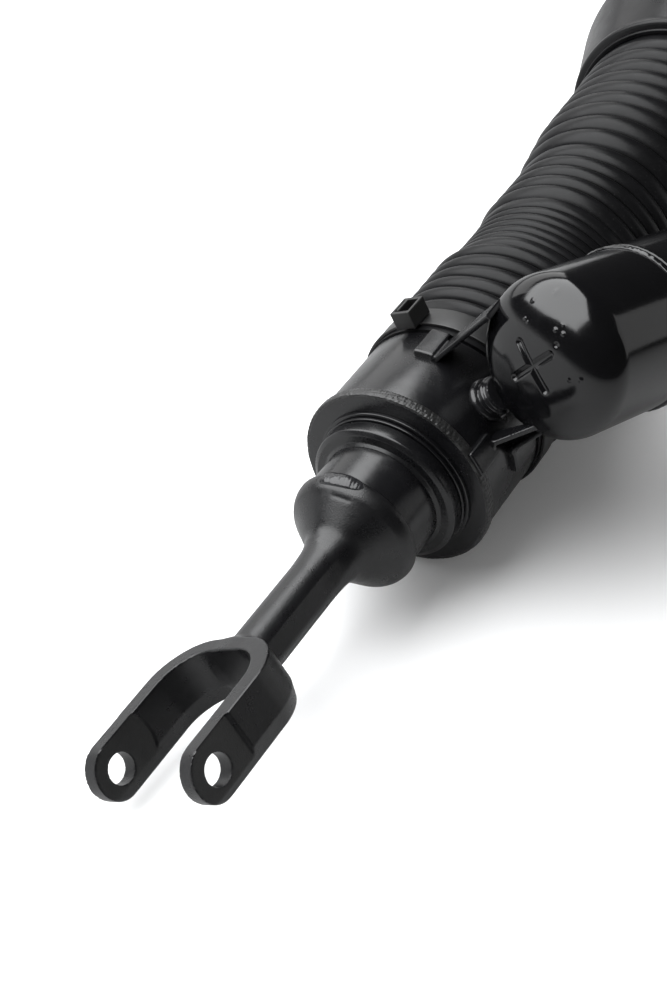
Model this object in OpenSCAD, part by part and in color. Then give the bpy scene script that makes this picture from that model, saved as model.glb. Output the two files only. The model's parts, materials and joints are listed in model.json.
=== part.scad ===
// Air suspension strut with a forked lower end and a side air reservoir.
// +Z runs up the strut axis, +X runs along the fork's cross bolt, and the
// origin is the centre of the cross bolt. The strut is drawn fully extended.

/* [Fork] */
// Diameter of the cross bolt hole in the fork ears
bolt_d = 12.5; // [10:0.5:13]
// Clear gap between the machined faces of the two ears
fork_gap = 50; // [40:1:50]
// Thickness of each ear at its machined faces
ear_t = 7; // [5:0.5:8]
// Radius of the rounded end of an ear, and half the width of the strap
ear_r = 12.5; // [11:0.5:13]
// Height of the top of the machined faces above the bolt
flat_h = 17.5; // [15:0.5:20]
// Radius of the forged shank
shank_r = 10.7; // [9:0.1:12]
// Height of the mouth of the cup that holds the damper tube
cup_z = 140.5; // [138:0.5:144]
// Radius of the cup
cup_r = 28.7; // [28.4:0.1:30]

/* [Damper] */
// Outer radius of the damper tube
tube_r = 27; // [26.5:0.5:27.5]
// Wall thickness of the damper tube
tube_wall = 2.5; // [2:0.5:3]
// Radius of the piston rod
rod_r = 10; // [8:0.5:11]
// Travel from full droop to full bump
travel = 110; // [60:5:110]

/* [Can] */
// Height of the underside of the can
can_z = 173.8; // [172:0.2:176]
// Height of the top edge of the can, where the boot starts
can_top_z = 222.5; // [222:0.5:226]
// Outer radius of the can
can_r = 43.5; // [42.5:0.5:44]
// Outer radius of the welded band around the can's lower rim
rim_r = 45.1; // [44.6:0.1:46]

/* [Reservoir] */
// Outer radius of the side reservoir
res_r = 35; // [30:0.5:35]
// Length of the side reservoir over both domes
res_len = 150; // [120:5:150]
// Distance from the lower pole to the seam between the two shells
seam_s = 62.5; // [50:0.5:70]
// Angle between the reservoir and the strut
res_tilt = 21.9; // [18:0.1:23]

/* [Air spring] */
// Height of the housing's lower rim
rim_z = 485; // [482:1:488]
// Outer radius of the housing's lower rim
rim_out_r = 62; // [61:0.5:63]
// Outer radius of the housing above its flare
housing_r = 76; // [72:1:78]
// Outer radius of the rolling piston
roll_r = 33; // [31:0.5:33]

/* [Top mount] */
// Height of the flat seat that meets the car body
seat_z = 640; // [636:1:644]
// Radius of each fixing stud
stud_r = 5; // [4:0.5:6]
// Diameter of the circle that the studs stand on
stud_pcd = 98; // [94:1:102]
// Number of fixing studs
stud_count = 3; // [3:1:4]

/* [Hidden] */
$fn = 96;
fit = 0.05;
ear_in = fork_gap / 2;
ear_out = ear_in + ear_t;
leg_in = ear_in - 0.4;
leg_out = ear_out + 0.6;
crown_in_z = 51.5;
crown_in_r = 17.2;
crown_out_z = 58.8;
crown_out_r = 24;
strap_w = 2 * ear_r;
tube_bore = tube_r - tube_wall;
tube_z = 137;
tube_top = 454;
plate_t = 3;
wall = 2;
band_h = 4.8;
crown_z = 466;
piston_z = 392;
guide_z = 428;
gas_z = 196;
housing_top = 618;
shell_t = 2.5;
bump_z = crown_z + travel + 2;
res_pole = [78.4, -27.5, 196.7];
res_az = 78.1;
dome_h = 18;
neck_az = 344;
neck_z = 205;
neck_r = 7.5;
neck_bore = 4;
tie_z = 226;
tie_w = 11.5;
tie_az = 279;
cuff_r = 44.2;
upper_z = 205;
rear_z = 198;
coarse_z = 243.8;
bulge_z = 288.5;
fine_z = 297.7;
medium_z = 340;
wide_z = 389;
boot_top_z = 492;
port_az = 60;
port_r = 2.05;
tie_t = 1.4;
rod_end_r = 7;
stud_root_r = stud_r + 1;
core_r = 14;
mount_r = 28;
core_z = seat_z - 24;
cap_r = 60;
flange_r = 67;
flange_z = housing_top + 1.5;
cap_under_z = seat_z - 34;
seal_r = rim_out_r - 4;
boot_neck_r = 55;
sleeve_t = 2.6;
fold_r = 7;
fold_z = 440;
sleeve_in = roll_r + 0.3;
sleeve_out = sleeve_in + 2 * fold_r;

// A ring of rectangular section around the strut axis.
module ring(inner, outer, low, high) {
    translate([0, 0, low])
        difference() {
            cylinder(r = outer, h = high - low);
            translate([0, 0, -1]) cylinder(r = inner, h = high - low + 2);
        }
}

// Places its children on a radius, with their +Z pointing outwards.
module radial(az, z) {
    rotate([0, 0, az]) translate([0, 0, z]) rotate([0, 90, 0]) children();
}

// Places its children in the reservoir's own frame: pole at the origin, +Z along it.
module at_reservoir() {
    translate(res_pole) rotate([0, res_tilt, res_az]) children();
}

// Points of an arc about [cx, cy] from angle a to angle b.
function arc(cx, cy, r, a, b, n) =
    [for (i = [0:n]) [cx + r * cos(a + (b - a) * i / n), cy + r * sin(a + (b - a) * i / n)]];

// ---------- fork ----------

// A door shape, seen along Y: straight sides, flat top and round corners.
module arch(half, top, corner) {
    translate([-half, -ear_r - 1]) square([2 * half, ear_r + 1 + top - corner]);
    translate([corner - half, 0]) square([2 * (half - corner), top]);
    for (side = [-1, 1]) translate([side * (half - corner), top - corner]) circle(r = corner);
}

// The U of the fork, seen along Y.
module strap_outline() {
    difference() {
        arch(leg_out, crown_out_z, crown_out_r);
        arch(leg_in, crown_in_z, crown_in_r);
    }
}

// The fork seen along X: round ears below, parallel sides above.
module strap_side() {
    circle(r = ear_r);
    translate([-ear_r, 0]) square([2 * ear_r, 80]);
}

module strap() {
    intersection() {
        rotate([90, 0, 0]) linear_extrude(height = strap_w, center = true) strap_outline();
        rotate([90, 0, 90]) linear_extrude(height = 3 * fork_gap, center = true) strap_side();
    }
}

// Shank and cup as one profile: the shank swells into the crown below and the cup above.
function shank_profile() = concat(
    [[0, 52], [16, 52]],
    arc(shank_r + 9, 72, 9, 250, 180, 6),
    arc(shank_r + 15.5, cup_z - 27.8, 15.5, 180, 131, 6),
    arc(cup_r - 9, cup_z - 1, 9, -41, 0, 6),
    [[cup_r, cup_z], [tube_r, cup_z], [tube_r, tube_z], [0, tube_z]]);

module fork() {
    color([0.07, 0.07, 0.08])
        difference() {
            union() {
                strap();
                intersection() {
                    rotate_extrude() polygon(shank_profile());
                    union() {
                        translate([-40, -ear_r, 50]) cube([80, strap_w, 30]);
                        translate([0, 0, 80]) cylinder(r = 2 * cup_r, h = 80);
                    }
                }
            }
            // machined faces inside and outside the ears
            translate([-ear_in, -ear_r - 1, -ear_r - 1]) cube([fork_gap, strap_w + 2, ear_r + 1 + flat_h]);
            for (side = [-1, 1])
                translate([side * (ear_out + 5), 0, flat_h / 2 - 10])
                    cube([10, strap_w + 2, flat_h + 20], center = true);
            rotate([0, 90, 0]) cylinder(r = bolt_d / 2, h = 3 * fork_gap, center = true);
        }
}

// Weld bead on one side of the cup's mouth.
module cup_weld() {
    color([0.16, 0.16, 0.17])
        rotate([0, 0, 259])
            rotate_extrude(angle = 62)
                polygon(concat([[tube_r, cup_z]], arc(tube_r, cup_z, 1.7, 0, 90, 6)));
}

// ---------- damper ----------

module damper_tube() {
    color([0.08, 0.08, 0.09]) ring(tube_bore, tube_r, tube_z, tube_top);
}

module tube_base_plug() {
    color([0.35, 0.35, 0.37])
        translate([0, 0, tube_z]) cylinder(r = tube_bore, h = 6);
}

module support_collar() {
    color([0.08, 0.08, 0.09])
        rotate_extrude()
            polygon([[tube_r, 161.6], [tube_r + 5.6, 161.6], [34.1, 163.1], [34.1, 169.4], [tube_r, 169.4]]);
}

// Two thin rings stacked between the collar and the can.
module collar_rings() {
    color([0.12, 0.12, 0.13]) {
        ring(tube_r, 34.9, 169.8, 171.4);
        ring(tube_r, 36.2, 171.8, can_z);
    }
}

// ---------- can ----------

module can_end_plate() {
    color([0.09, 0.09, 0.1]) ring(tube_r, can_r, can_z, can_z + plate_t);
}

module can_rim_band() {
    color([0.12, 0.12, 0.13])
        rotate_extrude()
            polygon([[can_r, can_z], [rim_r - 0.5, can_z], [rim_r, can_z + 0.5],
                [rim_r, can_z + band_h - 0.5], [rim_r - 0.5, can_z + band_h], [can_r, can_z + band_h]]);
}

// The can narrows at the top to a spigot that the boot's cuff slides over.
module can_shell() {
    spigot = 41.4;
    color([0.09, 0.09, 0.1])
        difference() {
            rotate_extrude()
                polygon([[can_r - wall, can_z + plate_t], [can_r, can_z + plate_t],
                    [can_r, can_top_z - 0.8], [can_r - 0.8, can_top_z], [spigot, can_top_z],
                    [spigot, can_top_z + 14], [spigot - wall, can_top_z + 14],
                    [spigot - wall, can_top_z - wall], [can_r - wall, can_top_z - wall]]);
            radial(neck_az, neck_z) cylinder(r = neck_bore, h = 60);
        }
}

// Closes the can around the foot of the rolling piston.
module piston_base() {
    color([0.4, 0.4, 0.42])
        difference() {
            ring(tube_r, 39.4, can_top_z, can_top_z + plate_t);
            for (a = [0:60:300])
                rotate([0, 0, a]) translate([tube_r + 2.2, 0, can_top_z - 1]) cylinder(r = 1.1, h = plate_t + 2);
        }
}

// ---------- brackets and reservoir ----------

// Solid of the whole reservoir, used to cut what touches it.
module reservoir_body() {
    at_reservoir() rotate_extrude() polygon(concat(dome(res_r, 0), [[res_r, res_len - dome_h], [0, res_len - dome_h]]));
}

// Outline of the lower dome from its pole to its widest circle.
function dome(r, inset) = [for (i = [0:12])
    let (x = sin(i * 7.5)) [r * x, inset + (dome_h - inset) * (1 - pow(1 - pow(x, 2.3), 1 / 2.3))]];

// A foot that lies on the can between two azimuths.
module can_foot(a, b, low, high) {
    rotate([0, 0, a])
        rotate_extrude(angle = b - a)
            translate([can_r - 1, low]) square([plate_t + 1, high - low]);
}

// An upright web that starts on the can at one azimuth and runs out along another.
module web(start_az, run_az, low, high, length) {
    rotate([0, 0, start_az]) translate([can_r - 1, 0, low])
        rotate([0, 0, run_az - start_az]) translate([0, -plate_t / 2, 0]) cube([length, plate_t, high - low]);
}

// Trims a bracket to the can and to the reservoir.
module trimmed() {
    difference() {
        children();
        translate([0, 0, can_z]) cylinder(r = can_r, h = 50);
        reservoir_body();
    }
}

// Sheet folded outwards from a foot, on the open side of the pipe.
module upper_bracket() {
    color([0.09, 0.09, 0.1])
        trimmed() {
            can_foot(293, 305, upper_z, upper_z + 13);
            web(305, 340.2, upper_z, upper_z + 13, 42);
        }
}

// The same on the other side of the pipe.
module rear_bracket() {
    color([0.09, 0.09, 0.1])
        trimmed() {
            can_foot(13, 28, rear_z, rear_z + 13);
            web(15, 343.3, rear_z, rear_z + 13, 36);
        }
}

// Foot that laps over the rim band, with a web that carries the dome from below.
module lower_bracket() {
    color([0.09, 0.09, 0.1])
        trimmed()
            difference() {
                union() {
                    can_foot(353, 367, can_z + 0.4, can_z + 16);
                    web(360, 358, can_z + 13, can_z + 24, 34);
                }
                translate([0, 0, can_z - 1]) cylinder(r = rim_r, h = band_h + 1);
            }
}

// Short pipe that joins the can's air space to the reservoir.
module transfer_neck() {
    color([0.08, 0.08, 0.09])
        difference() {
            radial(neck_az, neck_z) cylinder(r = neck_r, h = 62);
            radial(neck_az, neck_z) cylinder(r = neck_bore, h = 63);
            translate([0, 0, neck_z - 20]) cylinder(r = can_r, h = 40);
            reservoir_body();
        }
}

// Weld rings where the pipe meets the can and the dome.
module neck_weld_rings() {
    color([0.15, 0.15, 0.16])
        difference() {
            radial(neck_az, neck_z) {
                translate([0, 0, can_r - 1]) cylinder(r = neck_r + 1.6, h = 2.6);
                translate([0, 0, can_r + 4.4]) cylinder(r = neck_r + 1.2, h = 2);
            }
            radial(neck_az, neck_z) cylinder(r = neck_r, h = 62);
            translate([0, 0, neck_z - 20]) cylinder(r = can_r, h = 40);
            reservoir_body();
        }
}

// Lower shell: domed end with a pressed cross, and the wall up to the seam.
module reservoir_dome() {
    cross_half = 12.6;
    cross_w = 3.4;
    cross_angle = -4.7;
    color([0.05, 0.05, 0.06])
        difference() {
            at_reservoir()
                difference() {
                    rotate_extrude()
                        polygon(concat(dome(res_r, 0), [[res_r, seam_s], [res_r - wall, seam_s]],
                            [for (i = [12:-1:0]) dome(res_r - wall, wall)[i]]));
                    for (a = [0, 90])
                        rotate([0, 0, cross_angle + a])
                            for (side = [-1, 1])
                                translate([side * cross_half / 2, 0, 0])
                                    cube([cross_half, cross_w, 2], center = true);
                }
            radial(neck_az, neck_z) cylinder(r = neck_bore, h = 60);
        }
}

module reservoir_band() {
    color([0.1, 0.1, 0.11])
        at_reservoir()
            rotate_extrude()
                polygon([[res_r, seam_s - 2], [res_r + 0.7, seam_s - 2], [res_r + 1.2, seam_s - 1],
                    [res_r + 1.2, seam_s + 3.5], [res_r + 0.7, seam_s + 4.5], [res_r, seam_s + 4.5]]);
}

module reservoir_shell() {
    color([0.05, 0.05, 0.06])
        at_reservoir() ring(res_r - wall, res_r, seam_s, res_len - dome_h);
}

module reservoir_top_dome() {
    color([0.05, 0.05, 0.06])
        at_reservoir()
            translate([0, 0, res_len])
                rotate([180, 0, 0])
                    rotate_extrude()
                        polygon(concat(dome(res_r, 0), [for (i = [12:-1:0]) dome(res_r - wall, wall)[i]]));
}

// ---------- boot ----------

// Heights of the boot's crests, from the cuff to the housing.
crest_z = concat([for (i = [0:4]) coarse_z + 8.9 * i], [bulge_z], [for (i = [0:6]) fine_z + 5.32 * i],
    [for (i = [0:4]) medium_z + 9.3 * i], [for (i = [0:8]) wide_z + 10.9 * i]);

// Radius of the boot over its crests.
function crest_r(z) = lookup(z, [[coarse_z, 45.2], [coarse_z + 9, 46.4], [bulge_z, 47], [fine_z, 45],
    [fine_z + 8, 44.4], [fine_z + 24, 44.5], [fine_z + 32, 45.1], [medium_z, 47], [medium_z + 37, 47.2],
    [wide_z, 49.5], [wide_z + 24, 53.1], [wide_z + 57, 54], [boot_top_z, 56.4]]);

// Depth of the folds, which are shallow where the pitch is fine.
function fold_depth(z) = z > fine_z - 3 && z < medium_z - 5 ? 1.5 : 3;

module boot() {
    valleys = [for (i = [0:len(crest_z) - 2]) (crest_z[i] + crest_z[i + 1]) / 2];
    outer = concat([[cuff_r, can_top_z + 0.5], [cuff_r, coarse_z - 5]],
        [for (i = [0:len(crest_z) - 2], k = [0, 1])
            k == 0 ? [crest_r(crest_z[i]), crest_z[i]]
                   : [crest_r(valleys[i]) - fold_depth(valleys[i]), valleys[i]]],
        [[crest_r(boot_top_z - 16), crest_z[len(crest_z) - 1]], [boot_neck_r, boot_top_z - 10],
            [boot_neck_r, boot_top_z]]);
    inner = [[52.5, boot_top_z], [52.5, boot_top_z - 14], [50, wide_z + 60], [44.2, wide_z],
        [42, medium_z], [40.7, fine_z + 30], [40.7, coarse_z + 8], [41.5, coarse_z - 4], [41.5, can_top_z + 0.5]];
    color([0.13, 0.13, 0.14]) rotate_extrude() polygon(concat(outer, inner));
}

module boot_tie() {
    color([0.05, 0.05, 0.05]) ring(cuff_r + fit, cuff_r + tie_t, tie_z, tie_z + tie_w);
}

// Square ratchet head of the tie, with the slot that the strap's tail comes out of.
module boot_tie_head() {
    head = [8.5, 10.5, 13];
    head_z = tie_z - 5;
    window = [3.5, 7.5, 9];
    color([0.05, 0.05, 0.05])
        rotate([0, 0, tie_az])
            difference() {
                translate([cuff_r + tie_t, -head[1] / 2, head_z]) cube(head);
                translate([cuff_r + 7, -window[1] / 2, head_z + 2]) cube(window);
                translate([0, 0, tie_z - 10]) cylinder(r = cuff_r + tie_t, h = 30);
            }
}

// ---------- rolling piston ----------

module rolling_piston() {
    color([0.55, 0.55, 0.57]) ring(roll_r - shell_t, roll_r, can_top_z + plate_t, crown_z - 8);
}

module piston_crown() {
    color([0.55, 0.55, 0.57])
        rotate_extrude()
            polygon([[rod_r + 1, tube_top], [roll_r - shell_t, tube_top], [roll_r - shell_t, crown_z - 8],
                [roll_r, crown_z - 8], [roll_r, crown_z - 1], [roll_r - 1, crown_z], [rod_r + 1, crown_z]]);
}

module sleeve_lower_clamp() {
    color([0.6, 0.6, 0.62]) ring(roll_r + 3.1, roll_r + 4.6, crown_z - 16, crown_z - 8);
}

module rod_guide() {
    color([0.6, 0.6, 0.62]) ring(rod_r + fit, tube_bore, guide_z, guide_z + 14);
}

module rod_seal() {
    color([0.1, 0.1, 0.1]) ring(rod_r + 0.02, tube_bore, guide_z + 14, guide_z + 22);
}

module guide_snap_ring() {
    color([0.5, 0.5, 0.5]) ring(tube_bore - 3, tube_bore, guide_z + 22, guide_z + 24);
}

// Floating piston between the oil and the gas.
module gas_piston() {
    color([0.65, 0.65, 0.67])
        difference() {
            translate([0, 0, gas_z]) cylinder(r = tube_bore - fit, h = 16);
            translate([0, 0, gas_z - 1]) cylinder(r = tube_bore - 6, h = 10);
            ring(tube_bore - 2, tube_bore + 1, gas_z + 10, gas_z + 13);
        }
}

module gas_piston_seal() {
    color([0.1, 0.1, 0.1]) ring(tube_bore - 2, tube_bore - 0.02, gas_z + 10, gas_z + 13);
}

// ---------- rod ----------

// Rod with a reduced lower end for the piston and a reduced upper end for the top mount.
module piston_rod() {
    color([0.8, 0.8, 0.82])
        rotate_extrude()
            polygon([[0, piston_z - 10], [rod_end_r, piston_z - 10], [rod_end_r, piston_z + 18],
                [rod_r, piston_z + 18], [rod_r, core_z], [rod_end_r, core_z],
                [rod_end_r, seat_z + 21], [rod_end_r - 1, seat_z + 22], [0, seat_z + 22]]);
}

module damper_piston() {
    color([0.6, 0.6, 0.62])
        difference() {
            ring(rod_end_r, tube_bore - 1.5, piston_z, piston_z + 18);
            for (a = [0:60:300])
                rotate([0, 0, a]) translate([15.5, 0, piston_z - 1]) cylinder(r = 2, h = 20);
        }
}

module piston_band() {
    color([0.2, 0.3, 0.25]) ring(tube_bore - 1.5, tube_bore - 0.04, piston_z + 3, piston_z + 15);
}

module piston_nut() {
    color([0.5, 0.5, 0.52])
        translate([0, 0, piston_z - 8])
            difference() {
                cylinder(r = 12.5, h = 8, $fn = 6);
                translate([0, 0, -1]) cylinder(r = rod_end_r, h = 10);
            }
}

// Ring on the rod that meets the guide at full droop.
module rebound_stop() {
    color([0.15, 0.15, 0.15]) ring(rod_r, 16, guide_z - 9.3, guide_z - 0.3);
}

module bump_stop() {
    color([0.75, 0.7, 0.5])
        rotate_extrude()
            polygon([[rod_r + 0.5, bump_z], [17, bump_z], [21, bump_z + 6], [18.5, bump_z + 11],
                [22, bump_z + 17], [22, bump_z + 26], [rod_r + 0.5, bump_z + 26]]);
}

module bump_cup() {
    color([0.3, 0.3, 0.32])
        rotate_extrude()
            polygon([[rod_r + 0.5, bump_z + 26], [22, bump_z + 26], [22, bump_z + 14], [24, bump_z + 14],
                [24, cap_under_z], [rod_r + 0.5, cap_under_z]]);
}

// ---------- air spring ----------

// Rolling sleeve: inner leg on the piston, a rolled fold, and an outer leg up to the cap.
module air_sleeve() {
    color([0.06, 0.06, 0.06])
        rotate_extrude()
            polygon(concat([[sleeve_in, crown_z - 9], [sleeve_in, fold_z]],
                arc(sleeve_in + fold_r, fold_z, fold_r, 180, 360, 12),
                [[sleeve_out, cap_under_z - 2], [sleeve_out - sleeve_t, cap_under_z - 2]],
                arc(sleeve_in + fold_r, fold_z, fold_r - sleeve_t, 360, 180, 12),
                [[sleeve_in + sleeve_t, crown_z - 9]]));
}

module sleeve_upper_clamp() {
    color([0.6, 0.6, 0.62]) ring(sleeve_out, sleeve_out + 1.6, cap_under_z - 15, cap_under_z - 6);
}

// Flare, wall and shoulder of the housing; inset gives the inner face.
function housing_profile(inset) = concat(
    [[rim_out_r + 1.3 - inset, rim_z + 3.6]],
    arc(housing_r - 40 - inset, rim_z + 52, 40, -18, 0, 6),
    arc(housing_r - 14, housing_top - 14, 14 - inset, 0, 90, 6));

// Pressed shell with a rolled rim below and an inward lip above.
module housing() {
    inner = housing_profile(shell_t);
    color([0.05, 0.05, 0.055])
        rotate_extrude()
            polygon(concat([[seal_r, rim_z - 1], [rim_out_r - 1, rim_z - 1], [rim_out_r, rim_z],
                    [rim_out_r, rim_z + 2.6]],
                housing_profile(0),
                [[cap_r, housing_top], [cap_r, housing_top - shell_t]],
                [for (i = [len(inner) - 1:-1:0]) inner[i]],
                [[seal_r, rim_z + 1.5]]));
}

// Dark ring in the housing's mouth, around the boot.
module housing_rim_seal() {
    color([0.03, 0.03, 0.03])
        rotate_extrude()
            polygon([[boot_neck_r, rim_z - 2], [seal_r, rim_z - 3], [seal_r, boot_top_z - 1],
                [boot_neck_r, boot_top_z - 1]]);
}

// Ring that spreads the boot's upper end against the seal.
module boot_top_ring() {
    color([0.5, 0.5, 0.52]) ring(51, 52.5, boot_top_z - 11, boot_top_z - 1);
}

// ---------- top mount ----------

// Cast cap with a plug, a flange and a skirt that the air sleeve is clamped to.
module top_cap() {
    skirt_r = sleeve_out - sleeve_t;
    color([0.6, 0.61, 0.63])
        difference() {
            rotate_extrude()
                polygon([[mount_r, seat_z], [cap_r - 1, seat_z], [cap_r, seat_z - 1], [cap_r, flange_z + 8],
                    [flange_r, flange_z + 8], [flange_r, flange_z], [cap_r, flange_z], [cap_r, cap_under_z],
                    [skirt_r, cap_under_z], [skirt_r, cap_under_z - 18], [skirt_r - 4, cap_under_z - 18],
                    [skirt_r - 4, cap_under_z], [22, cap_under_z], [22, core_z], [mount_r, core_z]]);
            stud_places() cylinder(r = stud_root_r, h = 50);
            at_port() {
                translate([0, 0, -1]) cylinder(r = 7.4, h = 20);
                translate([0, 0, -12]) cylinder(r = 4.5, h = 20);
                translate([0, 0, cap_under_z - seat_z - 1]) cylinder(r = 1.5, h = 60);
            }
        }
}

// Seal between the cap's flange and the housing's lip.
module cap_seal() {
    color([0.05, 0.05, 0.05]) ring(cap_r, flange_r - 1, housing_top, flange_z);
}

// Rubber bush that lets the rod tilt a little in the cap.
module mount_rubber() {
    color([0.06, 0.06, 0.06])
        rotate_extrude()
            polygon([[core_r, core_z], [mount_r, core_z], [mount_r, seat_z - 4], [mount_r - 4, seat_z - 2],
                [core_r + 5, seat_z - 5], [core_r, seat_z - 2]]);
}

module mount_core() {
    color([0.5, 0.5, 0.52]) ring(rod_end_r, core_r, core_z, seat_z);
}

module rod_washer() {
    color([0.6, 0.6, 0.62]) ring(rod_end_r, 24, seat_z, seat_z + 3);
}

module rod_nut() {
    color([0.6, 0.6, 0.62])
        translate([0, 0, seat_z + 3])
            difference() {
                cylinder(r = 12.7, h = 12, $fn = 6);
                translate([0, 0, -1]) cylinder(r = rod_end_r, h = 14);
            }
}

// Puts its children at the foot of each fixing stud, inside the cap.
module stud_places() {
    for (i = [0:stud_count - 1])
        rotate([0, 0, 360 / stud_count * i]) translate([stud_pcd / 2, 0, seat_z - 13]) children();
}

module top_studs() {
    color([0.6, 0.6, 0.62])
        stud_places()
            rotate_extrude()
                polygon([[0, 0], [stud_root_r, 0], [stud_root_r, 13], [stud_r, 13], [stud_r, 36.5],
                    [stud_r - 1.5, 38], [0, 38]]);
}

// Puts its children on the seat, at the air port.
module at_port() {
    rotate([0, 0, port_az]) translate([42, 0, seat_z]) children();
}

module air_fitting() {
    color([0.72, 0.62, 0.35])
        at_port()
            difference() {
                union() {
                    translate([0, 0, -12]) cylinder(r = 4.5, h = 12);
                    translate([0, 0, -1]) cylinder(r = 6.9, h = 9, $fn = 6);
                    translate([0, 0, 8]) cylinder(r = 5.6, h = 6);
                }
                translate([0, 0, -13]) cylinder(r = port_r, h = 40);
            }
}

// Release collar that grips the air line.
module air_fitting_collet() {
    color([0.1, 0.1, 0.1])
        at_port()
            difference() {
                translate([0, 0, 14]) cylinder(r = 4, h = 3);
                translate([0, 0, 13]) cylinder(r = port_r, h = 6);
            }
}

fork();
cup_weld();
damper_tube();
tube_base_plug();
support_collar();
collar_rings();
can_end_plate();
can_rim_band();
can_shell();
piston_base();
upper_bracket();
rear_bracket();
lower_bracket();
transfer_neck();
neck_weld_rings();
reservoir_dome();
reservoir_band();
reservoir_shell();
reservoir_top_dome();
boot_tie();
boot_tie_head();
rolling_piston();
piston_crown();
sleeve_lower_clamp();
rod_guide();
rod_seal();
guide_snap_ring();
gas_piston();
gas_piston_seal();
piston_rod();
damper_piston();
piston_band();
piston_nut();
rebound_stop();
bump_stop();
bump_cup();
air_sleeve();
sleeve_upper_clamp();
boot();
boot_top_ring();
housing();
housing_rim_seal();
top_cap();
cap_seal();
mount_rubber();
mount_core();
rod_washer();
rod_nut();
top_studs();
air_fitting();
air_fitting_collet();
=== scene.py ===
"""Looks of the air suspension strut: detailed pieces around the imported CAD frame.

Shapes are written in millimetres in the strut's own frame and scaled to metres as
they become meshes. +Z runs up the strut axis and +X along the fork's cross bolt.
"""

import json
import math

import bpy
import numpy as np
from mathutils import Matrix, Vector

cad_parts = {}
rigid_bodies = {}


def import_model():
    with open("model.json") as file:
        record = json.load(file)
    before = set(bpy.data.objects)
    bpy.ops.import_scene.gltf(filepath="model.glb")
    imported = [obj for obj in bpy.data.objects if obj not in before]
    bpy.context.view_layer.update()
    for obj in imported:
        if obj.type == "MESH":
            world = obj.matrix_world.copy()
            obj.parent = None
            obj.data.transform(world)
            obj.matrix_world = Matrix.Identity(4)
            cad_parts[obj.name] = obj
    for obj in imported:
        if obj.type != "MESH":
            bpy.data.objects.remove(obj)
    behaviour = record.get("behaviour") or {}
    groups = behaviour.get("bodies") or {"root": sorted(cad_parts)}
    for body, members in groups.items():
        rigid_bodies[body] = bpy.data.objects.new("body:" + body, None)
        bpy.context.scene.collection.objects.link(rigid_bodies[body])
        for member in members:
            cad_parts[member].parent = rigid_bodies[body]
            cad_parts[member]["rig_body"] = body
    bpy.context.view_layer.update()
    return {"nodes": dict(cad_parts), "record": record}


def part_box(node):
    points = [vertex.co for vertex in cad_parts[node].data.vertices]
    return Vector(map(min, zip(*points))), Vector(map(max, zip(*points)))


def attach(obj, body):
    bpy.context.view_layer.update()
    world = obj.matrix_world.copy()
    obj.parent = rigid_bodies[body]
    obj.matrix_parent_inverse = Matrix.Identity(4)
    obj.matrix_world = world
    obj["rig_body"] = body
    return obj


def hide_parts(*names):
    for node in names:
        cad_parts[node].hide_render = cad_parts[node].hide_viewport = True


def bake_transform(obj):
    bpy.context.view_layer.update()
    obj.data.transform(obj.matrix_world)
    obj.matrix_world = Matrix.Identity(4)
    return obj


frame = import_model()
MM = 0.001
FINE = 1.0


def low(node, axis=2):
    """Lowest coordinate of a CAD node, in millimetres."""
    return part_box(node)[0][axis] / MM


def high(node, axis=2):
    """Highest coordinate of a CAD node, in millimetres."""
    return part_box(node)[1][axis] / MM


# ---------- sizes taken from the CAD ----------

CUP_Z = high("fork")
TUBE_R = high("damper_tube", 0)
COLLAR_R = high("support_collar", 0)
CAN_Z = low("can_end_plate")
CAN_R = high("can_end_plate", 0)
RIM_R = high("can_rim_band", 0)
BAND_TOP = high("can_rim_band")
CAN_TOP = high("can_shell") - 14.0
CUFF_R = high("boot_tie", 0) - 1.4
TIE_LOW, TIE_HIGH = low("boot_tie"), high("boot_tie")
BOOT_LOW, BOOT_TOP = low("boot"), high("boot")
RIM_Z = low("housing")
HOUSING_R = high("housing", 1)
HOUSING_TOP = high("housing")
SEAT_Z = high("top_cap")

# ---------- sizes of shapes that boxes don't give ----------

BOLT_R = 6.25
EAR_IN, EAR_OUT = 25.0, high("fork", 0) - 0.8
ARCH_IN_Z, ARCH_IN_R = 51.5, 17.2
ARCH_OUT_Z, ARCH_OUT_R = 58.8, 24.0
EAR_R = 12.5
FLAT_TOP = 17.3
SHANK_R = 10.7
CUP_R = 28.7
RES_R = 35.0
RES_LEN = 150.0
DOME_H = 18.0
DOME_POWER = 2.3
SEAM_S = 62.5
RES_TILT = math.radians(21.9)
RES_AZ = math.radians(78.1)
NECK_AZ = 344.0
NECK_Z = 205.0
NECK_R = 7.5
ROLL_R = 33.0
ROD_R = 10.0
ROD_END_R = 7.0


# ---------- materials ----------


def link(tree, a, out, b, into):
    tree.links.new(a.outputs[out], b.inputs[into])


def noise_node(tree, coords, scale, detail=3.0, rough=0.55):
    node = tree.nodes.new("ShaderNodeTexNoise")
    node.inputs["Scale"].default_value = scale
    node.inputs["Detail"].default_value = detail
    node.inputs["Roughness"].default_value = rough
    link(tree, coords, "Object", node, "Vector")
    return node


def ranged(tree, source, lo, hi, out_lo, out_hi):
    node = tree.nodes.new("ShaderNodeMapRange")
    node.inputs["From Min"].default_value = lo
    node.inputs["From Max"].default_value = hi
    node.inputs["To Min"].default_value = out_lo
    node.inputs["To Max"].default_value = out_hi
    link(tree, source, "Fac", node, "Value")
    return node


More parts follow.
